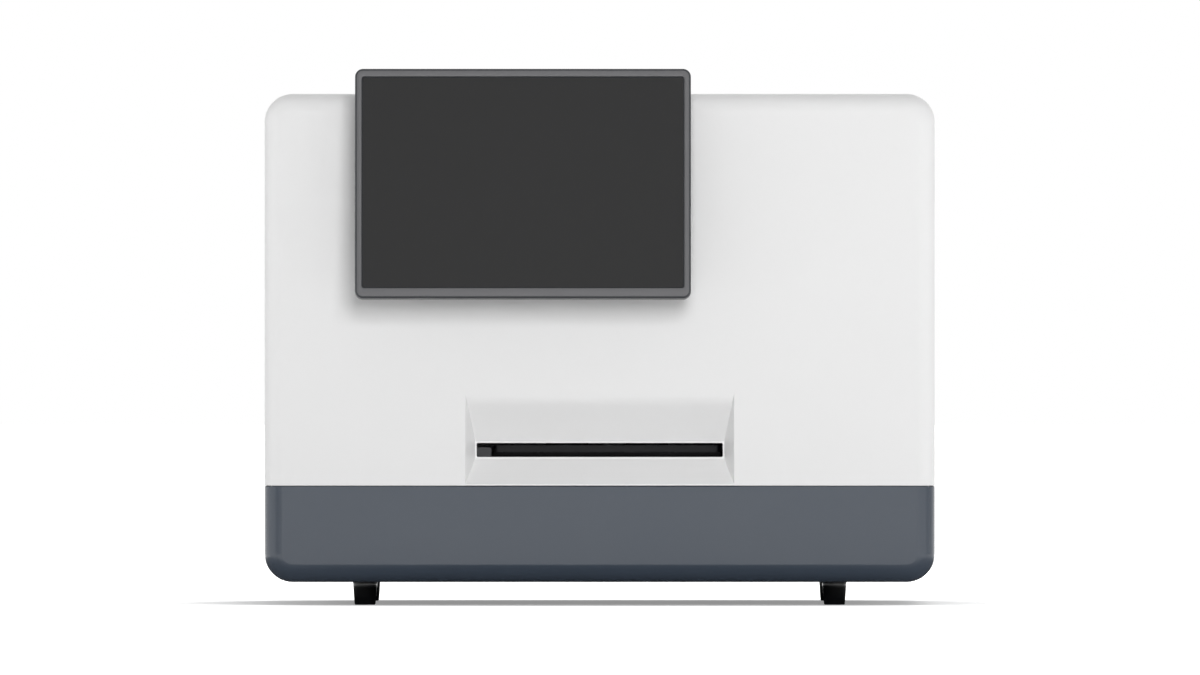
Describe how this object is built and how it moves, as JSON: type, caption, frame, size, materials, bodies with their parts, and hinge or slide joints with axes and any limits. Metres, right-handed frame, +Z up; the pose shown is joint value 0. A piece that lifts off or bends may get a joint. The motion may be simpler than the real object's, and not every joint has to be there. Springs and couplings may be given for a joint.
{
  "type": "digital slide scanner",
  "caption": "Bench-top glass slide scanner: rounded housing with a tilting touch display, a recessed tray slot, a motorised slide tray, and a gantry-carried optics head.",
  "frame": {"origin": "middle of the whole scanner's footprint, display included at its rest tilt, on the bench under the feet", "axes": "+X to the right seen from the front, +Y to the back, +Z up"},
  "size_m": [0.49, 0.4736, 0.3919],
  "materials": {
    "cover_paint": "satin white textured paint on a moulded cover",
    "base_paint": "satin slate-grey paint on a moulded base",
    "back_paint": "white powder coat on sheet steel",
    "machined_plate": "machined and bead-blasted aluminium",
    "foot_rubber": "black moulded rubber with a soft sheen",
    "zinc_steel": "zinc-plated steel",
    "dark_moulding": "matte black moulding",
    "guide_moulding": "matte dark grey moulding",
    "black_steel": "black powder coat on steel",
    "polished_pin": "ground steel pin",
    "grommet_rubber": "soft black rubber",
    "rail_steel": "ground bearing steel",
    "motor_steel": "black enamelled motor with steel laminations",
    "tin_case": "folded zinc-coated sheet",
    "board_laminate": "green circuit board laminate",
    "port_metal": "nickel-plated sockets",
    "inlet_plastic": "black glass-filled plastic",
    "harness_sleeve": "black woven sleeve",
    "bezel_plastic": "satin mid-grey moulding",
    "screen_glass": "unlit dark glass with an etched anti-glare face",
    "panel_metal": "metal-framed display panel",
    "black_anodised": "black anodised aluminium",
    "slide_glass": "clear microscope slide glass",
    "nut_bronze": "bronze lead nut",
    "optics_black": "satin black anodised barrel",
    "camera_case": "grey anodised finned case",
    "objective_brass": "nickelled brass barrel",
    "rocker_plastic": "gloss black rocker"
  },
  "bodies": {
    "housing": {"base_shell": "base_paint", "front_fascia": "cover_paint", "hood": "cover_paint", "rear_panel": "back_paint", "chassis_plate": "machined_plate", "feet": "foot_rubber", "foot_studs": "zinc_steel", "slot_baffle": "dark_moulding", "tray_guide": "guide_moulding", "display_bracket": "black_steel", "hinge_pins": "polished_pin", "housing_screws": "zinc_steel", "cable_grommet": "grommet_rubber", "rail_pedestals": "machined_plate", "tray_rails": "rail_steel", "tray_motor": "motor_steel", "motor_brackets": "machined_plate", "screw_end_bearings": "machined_plate", "gantry_posts": "machined_plate", "gantry_beam": "machined_plate", "cross_rails": "rail_steel", "cross_motor": "motor_steel", "power_supply": "tin_case", "main_board": "board_laminate", "io_ports": "port_metal", "power_inlet": "inlet_plastic", "fan_frame": "inlet_plastic", "internal_harness": "harness_sleeve"},
    "display": {"display_bezel": "bezel_plastic", "display_glass": "screen_glass", "lcd_panel": "panel_metal", "display_board": "board_laminate", "display_back_cover": "bezel_plastic", "hinge_plate": "black_steel", "hinge_plate_screws": "zinc_steel"},
    "tray_carriage": {"tray_carrier": "black_anodised", "tray_blocks": "rail_steel", "tray_nut": "nut_bronze"},
    "tray": {"slide_tray": "black_anodised", "glass_slides": "slide_glass", "slide_springs": "rail_steel"},
    "tray_screw": {"tray_lead_screw": "rail_steel"},
    "optics_head": {"optics_plate": "black_anodised", "cross_blocks": "rail_steel", "cross_nut": "nut_bronze", "upper_arm": "black_anodised", "lower_arm": "black_anodised", "lamp_module": "black_anodised", "condenser": "optics_black", "focus_base": "black_anodised", "focus_motor": "motor_steel", "tube_barrel": "optics_black", "camera": "camera_case"},
    "cross_screw": {"cross_lead_screw": "rail_steel"},
    "focus_stage": {"focus_carriage": "black_anodised", "objective": "objective_brass"},
    "focus_screw": {"focus_lead_screw": "rail_steel"},
    "fan": {"fan_rotor": "inlet_plastic"},
    "rocker": {"power_rocker": "rocker_plastic"}
  },
  "joints": [
    {"name": "display_tilt", "type": "hinge", "parent": "housing", "child": "display", "pos_m": [0, -0.19637, 0.335], "axis": [-1, 0, 0], "range_deg": [-5, 20]},
    {"name": "tray_travel", "type": "slide", "parent": "housing", "child": "tray_carriage", "axis": [0, -1, 0], "range_m": [-0.04, 0.108]},
    {"name": "tray_screw_turn", "type": "hinge", "parent": "housing", "child": "tray_screw", "pos_m": [0.158, -0.15237, 0.0938], "axis": [0, -1, 0], "continuous": true},
    {"name": "tray_pull", "type": "slide", "parent": "tray_carriage", "child": "tray", "axis": [0, -1, 0], "range_m": [0, 0.09]},
    {"name": "cross_travel", "type": "slide", "parent": "housing", "child": "optics_head", "axis": [1, 0, 0], "range_m": [-0.064, 0.064]},
    {"name": "cross_screw_turn", "type": "hinge", "parent": "housing", "child": "cross_screw", "pos_m": [0.00535, 0.06563, 0.2117], "axis": [1, 0, 0], "continuous": true},
    {"name": "focus_travel", "type": "slide", "parent": "optics_head", "child": "focus_stage", "axis": [0, 0, 1], "range_m": [-0.004, 0.003]},
    {"name": "focus_screw_turn", "type": "hinge", "parent": "optics_head", "child": "focus_screw", "pos_m": [0.04135, -0.03667, 0.135], "axis": [0, 0, 1], "continuous": true},
    {"name": "fan_spin", "type": "hinge", "parent": "housing", "child": "fan", "pos_m": [0.13, 0.20414, 0.25], "axis": [0, 1, 0], "continuous": true},
    {"name": "rocker_tilt", "type": "hinge", "parent": "housing", "child": "rocker", "pos_m": [-0.1234, 0.23264, 0.055], "axis": [-1, 0, 0], "range_deg": [0, 16]}
  ],
  "couplings": [
    {"joint": "tray_screw_turn", "follows": "tray_travel", "rad_per_m": 628.32},
    {"joint": "cross_screw_turn", "follows": "cross_travel", "rad_per_m": 628.32},
    {"joint": "focus_screw_turn", "follows": "focus_travel", "rad_per_m": 3141.6}
  ]
}
